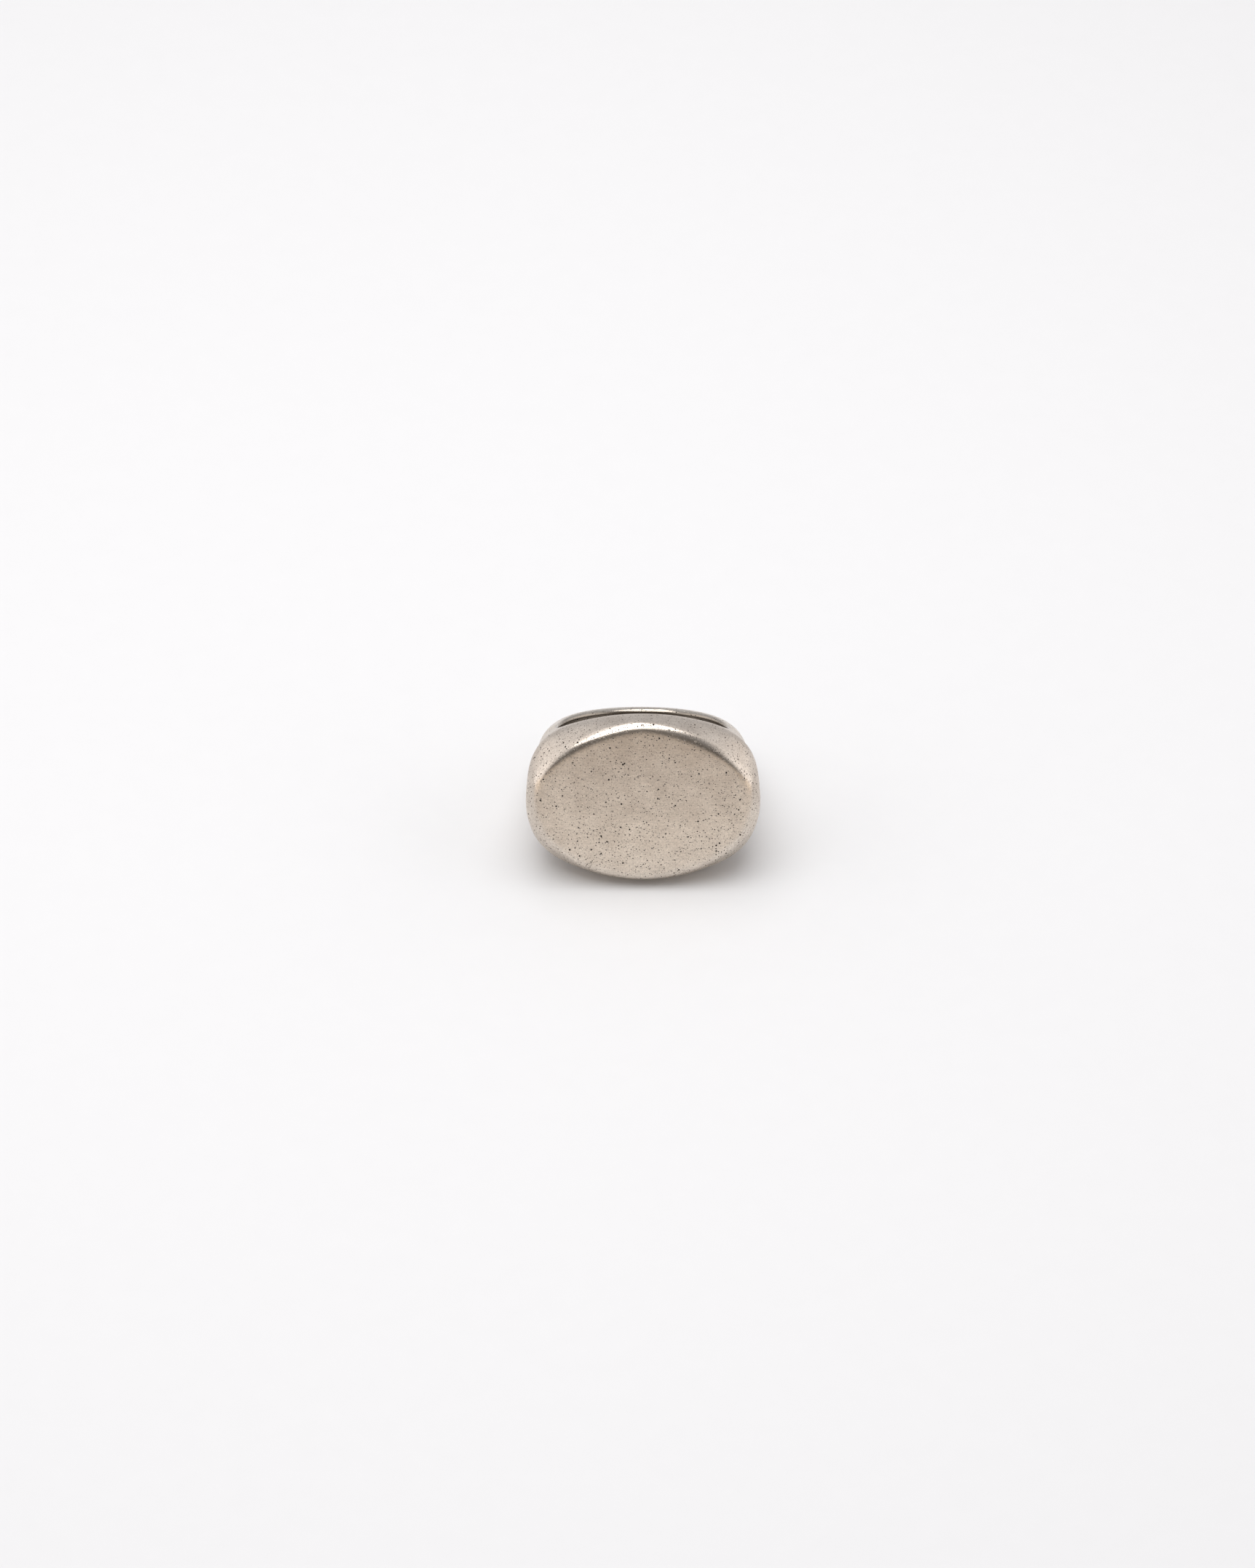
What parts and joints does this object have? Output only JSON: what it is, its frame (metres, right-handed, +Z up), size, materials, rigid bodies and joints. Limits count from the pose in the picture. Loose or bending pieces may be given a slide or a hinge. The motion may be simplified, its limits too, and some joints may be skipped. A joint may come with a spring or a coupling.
{
  "type": "signet ring",
  "caption": "Heavy silver signet ring with a blank oval table, shoulders that taper to a narrow shank, lying tilted on its side.",
  "frame": {"origin": "middle of the ring's box in X and Y, at its lowest point, as the ring lies on level ground on its side", "axes": "+Z up, X across the finger, and the table faces -Y and 19.4 degrees upwards; the finger bore runs along (0, 0.332, 0.943)"},
  "size_m": [0.0254, 0.026, 0.0183],
  "materials": {
    "satin_silver": "fine matt sterling silver with small dark pits",
    "worn_silver": "matt sterling silver worn brighter along its edges",
    "silver_solder": "hard silver solder filed flush"
  },
  "bodies": {
    "root": {"signet_head": "satin_silver", "shank": "worn_silver", "solder_seam_left": "silver_solder", "solder_seam_right": "silver_solder"}
  },
  "joints": []
}
